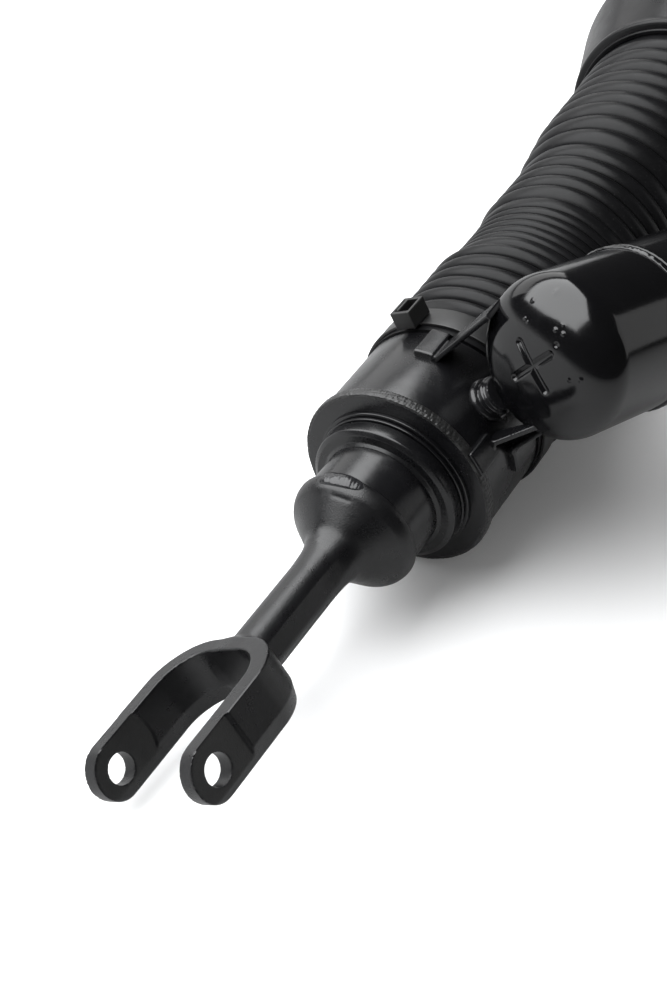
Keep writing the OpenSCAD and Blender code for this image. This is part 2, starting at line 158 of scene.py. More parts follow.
def surface(name, dark, light, rough, grain, wave=None, metal=0.0, speck=None, shine=0.5):
    """A procedural surface.

    dark and light are the two colours it drifts between, rough the two roughnesses,
    grain and wave are (features per metre, strength, depth in mm), speck is (features per
    metre, threshold, colour) for dust or chips, and shine is the specular level.
    """
    mat = bpy.data.materials.new(name)
    mat.use_nodes = True
    tree = mat.node_tree
    shader = tree.nodes["Principled BSDF"]
    coords = tree.nodes.new("ShaderNodeTexCoord")
    drift = noise_node(tree, coords, 38.0, 4.0, 0.6)
    mix = tree.nodes.new("ShaderNodeMix")
    mix.data_type = "RGBA"
    mix.inputs[6].default_value = (*dark, 1)
    mix.inputs[7].default_value = (*light, 1)
    link(tree, ranged(tree, drift, 0.35, 0.68, 0.0, 1.0), "Result", mix, 0)
    colour = mix
    if speck:
        dots = noise_node(tree, coords, speck[0], 2.0, 0.5)
        over = tree.nodes.new("ShaderNodeMix")
        over.data_type = "RGBA"
        over.inputs[7].default_value = (*speck[2], 1)
        link(tree, mix, 2, over, 6)
        link(tree, ranged(tree, dots, speck[1], speck[1] + 0.08, 0.0, 0.6), "Result", over, 0)
        colour = over
    link(tree, colour, 2, shader, "Base Color")
    smear = noise_node(tree, coords, 95.0, 5.0, 0.65)
    link(tree, ranged(tree, smear, 0.3, 0.7, rough[0], rough[1]), "Result", shader, "Roughness")
    shader.inputs["Metallic"].default_value = metal
    shader.inputs["Specular IOR Level"].default_value = shine
    last = None
    for spec in (wave, grain):
        if not spec:
            continue
        bump = tree.nodes.new("ShaderNodeBump")
        bump.inputs["Strength"].default_value = spec[1]
        bump.inputs["Distance"].default_value = spec[2] * MM
        link(tree, noise_node(tree, coords, spec[0]), "Fac", bump, "Height")
        if last:
            link(tree, last, "Normal", bump, "Normal")
        last = bump
    if last:
        link(tree, last, "Normal", shader, "Normal")
    return mat


def grey(value, blue=0.0):
    return (value, value, value * (1 + blue))


FORGED = surface(
    "forged_paint", grey(0.003, 0.15), grey(0.005, 0.15), (0.24, 0.38), (1500, 0.6, 0.12), (260, 0.25, 0.15)
)
MACHINED = surface(
    "machined_paint", grey(0.006), grey(0.011), (0.42, 0.56), (1900, 0.8, 0.16), (500, 0.3, 0.12)
)
PAINT = surface(
    "painted_steel", grey(0.003, 0.15), grey(0.005, 0.15), (0.20, 0.30), (1300, 0.25, 0.05), (240, 0.25, 0.12)
)
RIM_WELD = surface(
    "rim_weld_paint", grey(0.006), grey(0.014), (0.26, 0.42), (900, 0.9, 0.35), (330, 0.8, 0.5)
)
WELD = surface(
    "weld_paint", grey(0.007, 0.1), grey(0.016, 0.1), (0.14, 0.28), (700, 0.5, 0.2), (260, 0.5, 0.35)
)
GLOSS = surface(
    "reservoir_gloss", grey(0.002, 0.15), grey(0.003, 0.15), (0.09, 0.15), (900, 0.1, 0.03), (120, 0.18, 0.15)
)
BOOT = surface(
    "boot_rubber", grey(0.003, 0.1), grey(0.006, 0.1), (0.3, 0.4), (1400, 0.25, 0.06), (160, 0.25, 0.15),
    speck=(1100, 0.68, grey(0.03)), shine=0.18,
)
RUBBER = surface("inner_rubber", grey(0.008), grey(0.014), (0.5, 0.66), (1200, 0.4, 0.08))
NYLON = surface("tie_nylon", grey(0.007), grey(0.010), (0.34, 0.46), (1500, 0.3, 0.05), (300, 0.2, 0.08))
HOUSING = surface(
    "housing_paint", grey(0.004, 0.1), grey(0.007, 0.1), (0.26, 0.36), (1500, 0.22, 0.05), (140, 0.2, 0.15),
    shine=0.24,
)
CAST = surface(
    "cast_aluminium", grey(0.34), grey(0.46), (0.36, 0.52), (700, 0.6, 0.2), (180, 0.4, 0.2), metal=1.0
)
PLATED = surface("plated_steel", grey(0.42), grey(0.56), (0.24, 0.38), (900, 0.2, 0.04), metal=1.0)
CHROME = surface("chromed_rod", grey(0.62), grey(0.70), (0.06, 0.10), (1200, 0.05, 0.02), metal=1.0)
PTFE = surface("ptfe", (0.05, 0.09, 0.07), (0.07, 0.12, 0.09), (0.4, 0.5), (900, 0.2, 0.05))
FOAM = surface("bump_foam", (0.42, 0.36, 0.22), (0.52, 0.46, 0.30), (0.7, 0.85), (600, 0.9, 0.5))
BRASS = surface("brass", (0.60, 0.44, 0.17), (0.72, 0.55, 0.25), (0.2, 0.34), (1000, 0.15, 0.04), metal=1.0)
PLASTIC = surface("black_plastic", grey(0.02), grey(0.028), (0.34, 0.44), (1500, 0.3, 0.05))

SLOT_SURFACE = {
    "forging": FORGED, "weld": WELD, "painted_steel": PAINT, "rim_weld": RIM_WELD,
    "gloss_reservoir": GLOSS, "boot_rubber": BOOT, "inner_rubber": RUBBER, "tie_nylon": NYLON,
    "housing_paint": HOUSING, "cast_aluminium": CAST, "plated_steel": PLATED, "chromed_rod": CHROME,
    "ptfe": PTFE, "bump_foam": FOAM, "brass": BRASS, "black_plastic": PLASTIC,
}
NODE_SLOT = {s["node"]: s["material_slot"] for s in frame["record"]["subparts"]}
NODE_BODY = {n: o["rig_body"] for n, o in frame["nodes"].items()}
for node, obj in frame["nodes"].items():
    obj.data.materials.clear()
    obj.data.materials.append(SLOT_SURFACE[NODE_SLOT[node]])


# ---------- meshes ----------


def piece(name, verts, faces, nodes, sharp=38.0, slot=None, body=None):
    """Makes an object from points in millimetres that stands for the named CAD nodes."""
    mesh = bpy.data.meshes.new(name)
    mesh.from_pydata((np.asarray(verts, float) * MM).tolist(), [], faces)
    mesh.validate()
    mesh.shade_smooth()
    mesh.set_sharp_from_angle(angle=math.radians(sharp))
    obj = bpy.data.objects.new(name, mesh)
    bpy.context.scene.collection.objects.link(obj)
    slot = slot or NODE_SLOT[nodes[0]]
    mesh.materials.append(SLOT_SURFACE[slot])
    if body is not False:
        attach(obj, body or NODE_BODY[nodes[0]])
    if nodes:
        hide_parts(*nodes)
    return obj


def rounded(points, radius, steps=4):
    """Closed outline with each corner cut by an arc; radius is one number or one per corner."""
    out = []
    n = len(points)
    for i in range(n):
        a, b, c = (np.array(points[(i + k) % n], float) for k in (-1, 0, 1))
        r = radius[i] if hasattr(radius, "__len__") else radius
        u, v = a - b, c - b
        lu, lv = np.linalg.norm(u), np.linalg.norm(v)
        if r <= 0 or lu < 1e-6 or lv < 1e-6:
            out.append(tuple(b))
            continue
        u, v = u / lu, v / lv
        half = math.acos(max(-1.0, min(1.0, float(u @ v)))) / 2
        if half > math.radians(88) or half < math.radians(3):
            out.append(tuple(b))
            continue
        t = min(r / math.tan(half), 0.45 * lu, 0.45 * lv)
        p, q = b + u * t, b + v * t
        for k in range(steps + 1):
            s = k / steps
            out.append(tuple(p * (1 - s) ** 2 + b * 2 * s * (1 - s) + q * s * s))
    return out


def turned(name, outline, nodes, round_r=0.4, segments=192, frame_to=None, ripple=None, sharp=38.0, **kw):
    """A closed outline of (radius, height) turned about Z; ripple moves the points afterwards."""
    outline = rounded(outline, round_r) if round_r is not None else list(outline)
    segments = max(32, int(segments / FINE))
    a = np.linspace(0, 2 * math.pi, segments, endpoint=False)
    ring = np.array(outline, float)
    if (ring[:, 0] * np.roll(ring[:, 1], -1) - np.roll(ring[:, 0], -1) * ring[:, 1]).sum() < 0:
        ring = ring[::-1]
    r, z = ring[:, 0], ring[:, 1]
    x = np.cos(a)[:, None] * r[None, :]
    y = np.sin(a)[:, None] * r[None, :]
    verts = np.stack([x, y, np.broadcast_to(z, x.shape)], -1).reshape(-1, 3)
    m = len(ring)
    faces = []
    for i in range(segments):
        j = (i + 1) % segments
        for k in range(m):
            q = (k + 1) % m
            if r[k] < 1e-9 and r[q] < 1e-9:
                continue
            faces.append((i * m + k, j * m + k, j * m + q, i * m + q))
    if ripple is not None:
        verts = ripple(verts)
    if frame_to is not None:
        verts = frame_to(verts)
    return piece(name, verts, faces, nodes, sharp=sharp, **kw)


def solid(name, shape, lowest, highest, step, nodes, sharp=38.0, fixes=4, **kw):
    """Turns a signed distance into a mesh: one point per crossed cell, moved onto the surface."""
    step = step * FINE
    axes = [np.arange(lowest[i], highest[i] + step, step) for i in range(3)]
    f = shape(*np.meshgrid(*axes, indexing="ij"))
    n = f.shape
    cells = tuple(k - 1 for k in n)
    count = np.zeros(cells, np.int16)
    total = np.zeros(cells + (3,), np.float32)
    crossings = []
    for axis in range(3):
        o0, o1 = [k for k in range(3) if k != axis]
        a = f[tuple(slice(0, n[k] - 1) if k == axis else slice(None) for k in range(3))]
        b = f[tuple(slice(1, n[k]) if k == axis else slice(None) for k in range(3))]
        cross = (a < 0) != (b < 0)
        t = np.where(cross, a / np.where(cross, a - b, 1.0), 0.0).astype(np.float32)
        crossings.append((cross, a < 0))
        for d0 in (0, 1):
            for d1 in (0, 1):
                cut = [slice(None)] * 3
                cut[o0] = slice(d0, d0 + n[o0] - 1)
                cut[o1] = slice(d1, d1 + n[o1] - 1)
                c = cross[tuple(cut)]
                count += c
                total[..., axis] += t[tuple(cut)]
                total[..., o0] += c * np.float32(d0)
                total[..., o1] += c * np.float32(d1)
    live = count > 0
    ids = np.full(cells, -1, np.int64)
    ids[live] = np.arange(live.sum())
    where = np.argwhere(live)
    verts = where + total[live] / count[live][:, None]
    verts = verts * step + np.array(lowest, float)
    faces = []
    for axis in range(3):
        o0, o1 = [k for k in range(3) if k != axis]
        cross, inside = crossings[axis]
        at = np.argwhere(cross)
        at = at[(at[:, o0] > 0) & (at[:, o1] > 0) & (at[:, o0] < n[o0] - 1) & (at[:, o1] < n[o1] - 1)]
        corners = []
        for d0, d1 in ((1, 1), (0, 1), (0, 0), (1, 0)):
            c = at.copy()
            c[:, o0] -= d0
            c[:, o1] -= d1
            corners.append(ids[c[:, 0], c[:, 1], c[:, 2]])
        quad = np.stack(corners, 1)
        flip = inside[at[:, 0], at[:, 1], at[:, 2]] == (axis == 1)
        quad[flip] = quad[flip][:, ::-1]
        faces.append(quad)
    for _ in range(fixes):
        verts = settled(shape, verts, step)
    return piece(name, verts, np.vstack(faces).tolist(), nodes, sharp=sharp, **kw)


def settled(shape, p, step):
    """Moves points towards the surface by at most half a cell."""
    e = 0.02
    d = shape(p[:, 0], p[:, 1], p[:, 2])
    g = np.empty_like(p)
    for k in range(3):
        q, r = p.copy(), p.copy()
        q[:, k] += e
        r[:, k] -= e
        g[:, k] = (shape(q[:, 0], q[:, 1], q[:, 2]) - shape(r[:, 0], r[:, 1], r[:, 2])) / (2 * e)
    size = np.maximum((g * g).sum(1), 0.05)
    move = g * (d / size)[:, None]
    far = np.linalg.norm(move, axis=1)
    scale = np.minimum(1.0, 0.5 * step / np.maximum(far, 1e-9))
    return p - move * scale[:, None]


def meet(a, b, r=0.0):
    """Both shapes at once, with an edge of radius r."""
    if r <= 0:
        return np.maximum(a, b)
    u, v = np.maximum(a + r, 0), np.maximum(b + r, 0)
    return np.minimum(-r, np.maximum(a, b)) + np.hypot(u, v)


def join(a, b, r=0.0):
    """Either shape, with a fillet of radius r."""
    return -meet(-a, -b, r)


def slab(v, a, b):
    """Distance to the layer from a to b."""
    return np.maximum(a - v, v - b)


def brick(x, y, z, size, r=0.5):
    """A box about the origin with rounded edges."""
    q = [np.abs(v) - s / 2 + r for v, s in zip((x, y, z), size)]
    out = np.sqrt(sum(np.maximum(v, 0) ** 2 for v in q))
    return out + np.minimum(np.maximum(np.maximum(q[0], q[1]), q[2]), 0) - r


def turn(x, y, degrees):
    """Coordinates in axes turned about Z."""
    a = math.radians(degrees)
    return x * math.cos(a) + y * math.sin(a), -x * math.sin(a) + y * math.cos(a)


def bearing(x, y):
    return np.degrees(np.arctan2(y, x)) % 360


# ---------- fork ----------


def arc(cx, cy, r, a, b, n):
    angles = [math.radians(a + (b - a) * i / n) for i in range(n + 1)]
    return [(cx + r * math.cos(t), cy + r * math.sin(t)) for t in angles]


BELL = arc(SHANK_R + 15.6, CUP_Z - 27.8, 15.5, 180, 131, 16) + arc(CUP_R - 9, CUP_Z - 1, 9, -41, 0, 16)


def door(ax, z, half, top, corner):
    """Straight sides and flat top with round corners between them."""
    return np.hypot(np.maximum(ax - half + corner, 0), np.maximum(z - top + corner, 0)) - corner


def fork_shape(x, y, z):
    ax = np.abs(x)
    parting = np.maximum(y - 5.2, 0)
    outer = door(ax, z, EAR_OUT + 0.9, ARCH_OUT_Z, ARCH_OUT_R) + 0.29 * parting
    inner = 0.2 * parting - door(ax, z, EAR_IN - 0.6, ARCH_IN_Z, ARCH_IN_R)
    side = np.hypot(y, np.minimum(z, 0)) - EAR_R
    strap = meet(np.maximum(outer, inner), side, 1.1)
    round_side = np.hypot(x, np.minimum(y, 0)) - SHANK_R - 0.1
    bevel = 0.8 * ax + 0.6 * y - 10.9
    shank = meet(meet(np.maximum(round_side, ax - 10.1), bevel, 0.7), y - 9.3, 1.5)
    shank = np.maximum(shank, 53.0 - z)
    d = meet(join(strap, shank, 4.0), inner, 0.8)
    d = meet(d, np.abs(y) - EAR_R - 0.6 * np.maximum(z - 60.0, 0), 1.1)
    radial = np.hypot(x, y)
    bell_r = np.interp(z, [q[1] for q in BELL], [q[0] for q in BELL]) - 0.24 * np.maximum(119.0 - z, 0)
    lean = np.clip(np.abs(z - 129.0) / 12.0, 0, 1)
    bell = np.maximum((radial - bell_r) * (0.66 + 0.34 * lean), 104.0 - z)
    crease = np.exp(-(((z - 132.0) / 0.55) ** 2)) * np.clip(12 - np.abs(bearing(x, y) - 300), 0, 4) / 4
    d = join(d, bell + 0.22 * crease, 4.0)
    d = meet(d, z - CUP_Z, 0.45)
    d = np.maximum(d, -np.maximum(radial - TUBE_R - 0.08, 137.0 - z))
    d = np.maximum(d, -meet(EAR_OUT - ax, z - FLAT_TOP, 2.6))
    d = np.maximum(d, -meet(ax - EAR_IN, np.hypot(y + 3.0, z) - 20.0, 1.0))
    return meet(d, BOLT_R - np.hypot(y, z), 0.35)


fork = solid("fork_forging", fork_shape, (-34.5, -30, -14), (34.5, 30, 142), 0.6, ["fork"], sharp=30)
fork.data.materials.append(MACHINED)
for face in fork.data.polygons:
    c, n = face.center / MM, face.normal
    at_face = min(abs(abs(c.x) - EAR_OUT), abs(abs(c.x) - EAR_IN)) < 0.2
    if at_face and abs(n.x) > 0.97 and c.z < FLAT_TOP + 2.8:
        face.material_index = 1


def cup_weld_shape(x, y, z):
    radial = np.hypot(x, y)
    b = bearing(x, y)
    share = np.sqrt(np.clip(1 - ((b - 290) / 31.5) ** 2, 0.0004, 1))
    lumps = 0.10 * np.sin(b * 0.31 + 0.25 * z) + 0.06 * np.sin(b * 0.83 - 0.4 * z)
    lumps = lumps + 0.04 * np.sin(b * 2.1 + z)
    u = (radial - 27.2) / (2.35 * share + lumps * share)
    v = (z - 138.6) / (3.9 * share)
    return (np.sqrt(u * u + v * v) - 1) * 1.6 * share


solid("cup_weld_bead", cup_weld_shape, (2, -31, 132), (28, -10, 144), 0.35, ["cup_weld"])

# ---------- tube, collar and can ----------

TUBE_LOW, TUBE_HIGH = 137.1, 454
turned(
    "damper_tube_wall",
    [(TUBE_R - 2.5, TUBE_LOW), (TUBE_R, TUBE_LOW), (TUBE_R, TUBE_HIGH), (TUBE_R - 2.5, TUBE_HIGH)],
    ["damper_tube"],
)
collar_low, collar_high = low("support_collar"), high("support_collar")
turned(
    "support_collar_ring",
    [(TUBE_R - 1, collar_low - 0.9), (TUBE_R + 0.3, collar_low - 0.9), (TUBE_R + 1.6, collar_low + 0.4),
     (COLLAR_R - 2.2, collar_low + 0.5), (COLLAR_R, collar_low + 1.9), (COLLAR_R, collar_high),
     (TUBE_R - 1, collar_high)],
    ["support_collar"],
    [0, 0.3, 0.9, 1.2, 1.0, 0.5, 0],
)
turned(
    "collar_ring_pair",
    [(TUBE_R - 1, 169.8), (34.9, 169.8), (34.9, 171.3), (33.4, 171.5), (33.4, 171.8), (36.2, 171.9),
     (36.2, CAN_Z), (TUBE_R - 1, CAN_Z)],
    ["collar_rings"],
    [0, 0.5, 0.5, 0.1, 0.1, 0.5, 0.3, 0],
)
turned(
    "can_end_disc",
    [(TUBE_R - 0.5, CAN_Z), (CAN_R, CAN_Z), (CAN_R, CAN_Z + 3), (TUBE_R - 0.5, CAN_Z + 3)],
    ["can_end_plate"],
    0.2,
)


def weld_ripple(verts):
    """Overlapping arcs that a welding torch leaves, and small lumps."""
    r = np.hypot(verts[:, 0], verts[:, 1])
    b = np.radians(bearing(verts[:, 0], verts[:, 1]))
    z = verts[:, 2]
    out = np.clip((r - CAN_R - 0.7) / 0.6, 0, 1)
    arcs = np.sin(b * 190 + 0.9 * np.cos((z - CAN_Z) * 1.4) + 2 * np.sin(b * 23))
    lumps = np.sin(b * 37 + z * 2.1) * np.sin(b * 61 - z * 1.3 + 2)
    grow = out * (0.05 * arcs + 0.12 * lumps - 0.16)
    scale = (r + grow) / np.maximum(r, 1e-6)
    verts[:, 0] *= scale
    verts[:, 1] *= scale
    return verts


rim_steps = np.linspace(0, 1, 12)
rim_outline = [(CAN_R - 1, CAN_Z + 0.05), (RIM_R - 0.4, CAN_Z + 0.05)]
rim_outline += [
    (RIM_R - 0.25 * (2 * s - 1) ** 4, CAN_Z + 0.3 + (BAND_TOP - CAN_Z - 0.6) * s) for s in rim_steps
]
rim_outline += [(RIM_R - 0.4, BAND_TOP), (CAN_R - 1, BAND_TOP)]
turned("can_rim_weld", rim_outline, ["can_rim_band"], None, segments=900, ripple=weld_ripple, sharp=60)

spigot = high("can_shell", 0) - 2.1
turned(
    "can_wall",
    [(CAN_R - 2, CAN_Z + 3), (CAN_R, CAN_Z + 3), (CAN_R, CAN_TOP), (spigot, CAN_TOP), (spigot, CAN_TOP + 14),
     (spigot - 2, CAN_TOP + 14), (spigot - 2, CAN_TOP - 2), (CAN_R - 2, CAN_TOP - 2)],
    ["can_shell"],
    [0.2, 0.2, 1.1, 0.5, 0.6, 0.4, 0.4, 0.4],
    segments=256,
)

# ---------- reservoir ----------

res_turn = Matrix.Rotation(RES_AZ, 3, "Z") @ Matrix.Rotation(RES_TILT, 3, "Y")
RES_U = np.array(res_turn @ Vector((0, 0, 1)))
band_low, band_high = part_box("reservoir_band")
RES_POLE = np.array((band_low + band_high) / 2) / MM - RES_U * (SEAM_S + 1.25)
RES_AXES = np.array(res_turn)


def to_strut(verts):
    return verts @ RES_AXES.T + RES_POLE


def in_reservoir(x, y, z):
    p = [x - RES_POLE[0], y - RES_POLE[1], z - RES_POLE[2]]
    return [sum(RES_AXES[i][k] * p[i] for i in range(3)) for k in range(3)]


def dome_outline(r, h, n):
    """From the pole to the edge of a dome that is a little squarer than an ellipse."""
    out = []
    for i in range(n + 1):
        s = math.sin(math.pi / 2 * i / n)
        out.append((r * s, h * (1 - (1 - s**DOME_POWER) ** (1 / DOME_POWER))))
    return out


CROSS_HALF, CROSS_W, CROSS_ANGLE = 12.6, 3.4, -4.7
# Paint blisters on the dome: distance from its axis, bearing, size, rise.
BLISTERS = (
    (30.6, -137, 1.1, 0.5), (26, -155, 0.8, 0.35), (19.3, -164, 0.5, 0.3), (17.9, -160, 0.4, 0.25),
    (19.5, -117, 0.7, 0.4), (22.9, -114, 0.6, 0.35), (20.7, -107, 0.7, 0.4), (15.7, -102, 0.9, -0.4),
    (17.7, -51, 0.6, 0.3), (22.4, -54, 0.7, 0.3),
)


def press_cross(verts):
    """Presses the cross into the dome and raises a few paint blisters."""
    x, y = turn(verts[:, 0], verts[:, 1], CROSS_ANGLE)
    near = verts[:, 2] < DOME_H
    half = CROSS_W / 2
    arm_a = np.hypot(np.maximum(np.abs(x) - CROSS_HALF + half, 0), y)
    arm_b = np.hypot(x, np.maximum(np.abs(y) - CROSS_HALF + half, 0))
    d = np.minimum(arm_a, arm_b)
    t = np.clip((half + 0.5 - d) / 1.9, 0, 1)
    verts[:, 2] += np.where(near, 1.2 * t * t * (3 - 2 * t), 0)
    for rho, phi, size, rise in BLISTERS:
        px, py = rho * math.cos(math.radians(phi)), rho * math.sin(math.radians(phi))
        d = np.hypot(verts[:, 0] - px, verts[:, 1] - py) / size
        verts[:, 2] -= np.where(near, rise * np.exp(-(d**3)), 0)
    return to_strut(verts)


def dome_mesh(far):
    """A shell from its pole to its edge, with the points close together near the pole."""
    rows = int(150 / FINE)
    curve = np.array(dome_outline(RES_R, DOME_H, 400))
    length = np.concatenate([[0], np.cumsum(np.hypot(*np.diff(curve, axis=0).T))])
    s = np.linspace(0, length[-1], rows)
    r = np.interp(s, length, curve[:, 0])
    h = np.interp(s, length, curve[:, 1])
    wall = np.linspace(DOME_H, far, 24)[1:]
    r = np.concatenate([r, np.full(len(wall), RES_R)])[1:]
    h = np.concatenate([h, wall])[1:]
    n = int(300 / FINE)
    a = np.linspace(0, 2 * math.pi, n, endpoint=False)
    x, y = np.cos(a)[None] * r[:, None], np.sin(a)[None] * r[:, None]
    ring = np.stack([x, y, np.broadcast_to(h[:, None], (len(h), n))], -1)
    verts = np.vstack([[[0, 0, 0]], ring.reshape(-1, 3), [[0, 0, far]]])
    faces = [(0, 1 + (k + 1) % n, 1 + k) for k in range(n)]
    last = len(h) - 1
    for i in range(last):
        for k in range(n):
            q = (k + 1) % n
            faces.append((1 + i * n + k, 1 + i * n + q, 1 + (i + 1) * n + q, 1 + (i + 1) * n + k))
    end = len(verts) - 1
    faces += [(1 + last * n + k, 1 + last * n + (k + 1) % n, end) for k in range(n)]
    return verts, faces


verts, faces = dome_mesh(SEAM_S)
piece("reservoir_lower_shell", press_cross(verts), faces, ["reservoir_dome"], sharp=55)


def seam_ripple(verts):
    b = np.arctan2(verts[:, 1], verts[:, 0])
    r = np.hypot(verts[:, 0], verts[:, 1])
    out = np.clip((r - RES_R) / 0.8, 0, 1)
    grow = out * (0.03 * np.sin(b * 90) + 0.05 * np.sin(b * 53 + verts[:, 2]))
    verts[:, :2] *= ((r + grow) / r)[:, None]
    return to_strut(verts)


turned(
    "reservoir_seam",
    [(RES_R - 1, SEAM_S - 2), (RES_R + 0.5, SEAM_S - 1.6), (RES_R + 1.05, SEAM_S - 0.4),
     (RES_R + 1.05, SEAM_S + 0.5), (RES_R + 0.35, SEAM_S + 1.1), (RES_R + 0.35, SEAM_S + 1.7),
     (RES_R + 0.9, SEAM_S + 2.1), (RES_R + 0.9, SEAM_S + 4.3), (RES_R - 1, SEAM_S + 4.5)],
    ["reservoir_band"],
    [0, 0.5, 0.4, 0.4, 0.3, 0.3, 0.4, 0.5, 0],
    segments=420,
    ripple=seam_ripple,
)
turned(
    "reservoir_upper_wall",
    [(RES_R - 2, SEAM_S), (RES_R, SEAM_S), (RES_R, RES_LEN - DOME_H), (RES_R - 2, RES_LEN - DOME_H)],
    ["reservoir_shell"],
    None,
    segments=256,
    frame_to=to_strut,
)
top_curve = dome_outline(RES_R, DOME_H, 40)
turned(
    "reservoir_upper_dome",
    [(r, RES_LEN - h) for r, h in top_curve] + [(RES_R - 2, RES_LEN - DOME_H)]
    + [(r * (RES_R - 2) / RES_R, RES_LEN - 2 - h * (DOME_H - 2) / DOME_H) for r, h in top_curve[::-1]],
    ["reservoir_top_dome"],
    None,
    segments=256,
    frame_to=to_strut,
    sharp=60,
)


def reservoir_distance(x, y, z):
    u, v, w = in_reservoir(x, y, z)
    rho = np.hypot(u, v)
    below = np.clip((DOME_H - w) / DOME_H, 0, 3)
    return ((np.abs(rho / RES_R) ** DOME_POWER + below**DOME_POWER) ** (1 / DOME_POWER) - 1) * DOME_H * 1.1


def can_distance(x, y):
    return np.hypot(x, y) - CAN_R


# ---------- neck and brackets ----------


def neck_shape(x, y, z):
    u, v = turn(x, y, NECK_AZ)
    rim = np.hypot(v, z - NECK_Z)
    pipe = np.maximum(rim - NECK_R, slab(u, 40.0, 52.0))
    wave = 0.06 * np.sin(np.arctan2(z - NECK_Z, v) * 11)
    saddle = np.hypot(can_distance(x, y) - 0.6, rim - NECK_R - 0.6) - 1.7 - wave
    collar = np.hypot(can_distance(x, y) - 5.6, rim - NECK_R - 0.2) - 1.0
    d = join(pipe, saddle, 0.5)
    d = join(d, collar, 0.6)
    return np.maximum(d, -can_distance(x, y) - 1.5)


neck_mid = (52 * math.cos(math.radians(NECK_AZ)), 52 * math.sin(math.radians(NECK_AZ)), NECK_Z)
solid(
    "transfer_neck_pipe",
    neck_shape,
    (neck_mid[0] - 15, neck_mid[1] - 15, NECK_Z - 14),
    (neck_mid[0] + 14, neck_mid[1] + 15, NECK_Z + 14),
    0.45,
    ["transfer_neck", "neck_weld_rings"],
    slot="weld",
)


def bracket_shape(foot, start, run, bottom, top):
    """Sheet folded from a foot on the can into a web that runs out to the reservoir."""
    a = math.radians(start)
    start_x, start_y = (CAN_R - 1) * math.cos(a), (CAN_R - 1) * math.sin(a)
    mid, half = (foot[0] + foot[1]) / 2, (foot[1] - foot[0]) / 2

    def shape(x, y, z):
        skin = can_distance(x, y)
        arc = np.abs((bearing(x, y) - mid + 180) % 360 - 180) - half
        tab = meet(slab(skin, -1.5, 3.0), arc * math.pi / 180 * 45, 0.8)
        tab = meet(tab, slab(z, bottom, max(top, CAN_TOP - 0.8)), 0.9)
        u, v = turn(x - start_x, y - start_y, run)
        plate = meet(np.abs(v) - 1.2, slab(z, bottom, top), 0.7)
        plate = np.maximum(plate, slab(u, 0, 42))
        d = join(tab, plate, 1.6)
        seam = np.hypot(np.maximum(skin, 0), np.maximum(arc * math.pi / 180 * 45, 0)) - 1.1
        seam = np.maximum(seam, slab(z, bottom + 1.5, top - 1.0))
        d = join(d, seam, 0.5)
        d = np.maximum(d, -reservoir_distance(x, y, z) - 1.5)
        return np.maximum(d, -skin - 1.2)

    return shape


def bracket(name, node, foot, start, run):
    a, b = (np.array(v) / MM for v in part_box(node))
    return solid(name, bracket_shape(foot, start, run, a[2], b[2]), a - 3, b + 3, 0.42, [node])


bracket("upper_bracket_sheet", "upper_bracket", (293, 305), 305, 340.2)
bracket("rear_bracket_sheet", "rear_bracket", (13, 28), 15, 343.3)


def lower_bracket_shape(x, y, z):
    bottom, top = low("lower_bracket"), high("lower_bracket")
    skin = can_distance(x, y)
    arc = np.abs((bearing(x, y) - 360 + 180) % 360 - 180) - 7
    tab = meet(slab(skin, -1.5, 3.0), arc * math.pi / 180 * 45, 0.8)
    tab = meet(tab, slab(z, bottom, bottom + 15.6), 0.9)
    u, v = turn(x - 42.5, y, 358)
    plate = meet(np.abs(v) - 1.1, slab(z, bottom + 12.6, top), 0.7)
    plate = meet(np.maximum(plate, slab(u, 0, 34)), bottom + 12.6 + 0.3 * u - z, 0.5)
    d = join(tab, plate, 1.6)
    d = np.maximum(d, -reservoir_distance(x, y, z) - 1.5)
    under_band = np.maximum(-(RIM_R + 0.05 - np.hypot(x, y)), z - BAND_TOP - 0.1)
    return np.maximum(np.maximum(d, -under_band), -skin - 1.2)


box_a, box_b = (np.array(v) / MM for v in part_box("lower_bracket"))
solid("lower_bracket_sheet", lower_bracket_shape, box_a - 2, box_b + 3, 0.42, ["lower_bracket"])

# ---------- tie ----------

turned(
    "boot_tie_strap",
    [(CUFF_R + 0.05, TIE_LOW), (CUFF_R + 1.4, TIE_LOW), (CUFF_R + 1.4, TIE_HIGH), (CUFF_R + 0.05, TIE_HIGH)],
    ["boot_tie"],
    0.35,
    segments=256,
)
HEAD_AZ = 277.0
head_low, head_high = low("boot_tie_head"), high("boot_tie_head")
HEAD_SIZE = (8.5, 10.5, head_high - head_low)


def tie_head_shape(x, y, z):
    u, v = turn(x, y, HEAD_AZ)
    w = z - (head_low + head_high) / 2
    middle = CUFF_R + 1.4 + HEAD_SIZE[0] / 2
    block = brick(u - middle, v, w, HEAD_SIZE, 0.45)
    pocket = brick(u - middle - 2.2, v, w, (8.4, 7.4, 9.4), 0.4)
    stub = brick(u - middle - 1.0, v + 1.6, w + 0.2, (8.0, 2.0, 7.8), 0.3)
    teeth = 0.25 * np.sin(u * 5.2)
    d = meet(block, -pocket, 0.35)
    d = np.minimum(d, stub + teeth * (v < -1.6))
    return np.maximum(d, CUFF_R + 0.4 - np.hypot(x, y))


head_a, head_b = (np.array(v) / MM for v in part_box("boot_tie_head"))
solid("boot_tie_ratchet", tie_head_shape, head_a - 4, head_b + 4, 0.3, ["boot_tie_head"], sharp=32)

# ---------- boot ----------

COARSE_Z, BULGE_Z, FINE_Z, MEDIUM_Z, WIDE_Z = 243.8, 288.5, 297.7, 340.0, 389.0
crests = [COARSE_Z + 8.9 * i for i in range(5)] + [BULGE_Z] + [FINE_Z + 5.32 * i for i in range(7)]
crests += [MEDIUM_Z + 9.3 * i for i in range(5)] + [WIDE_Z + 10.9 * i for i in range(9)]
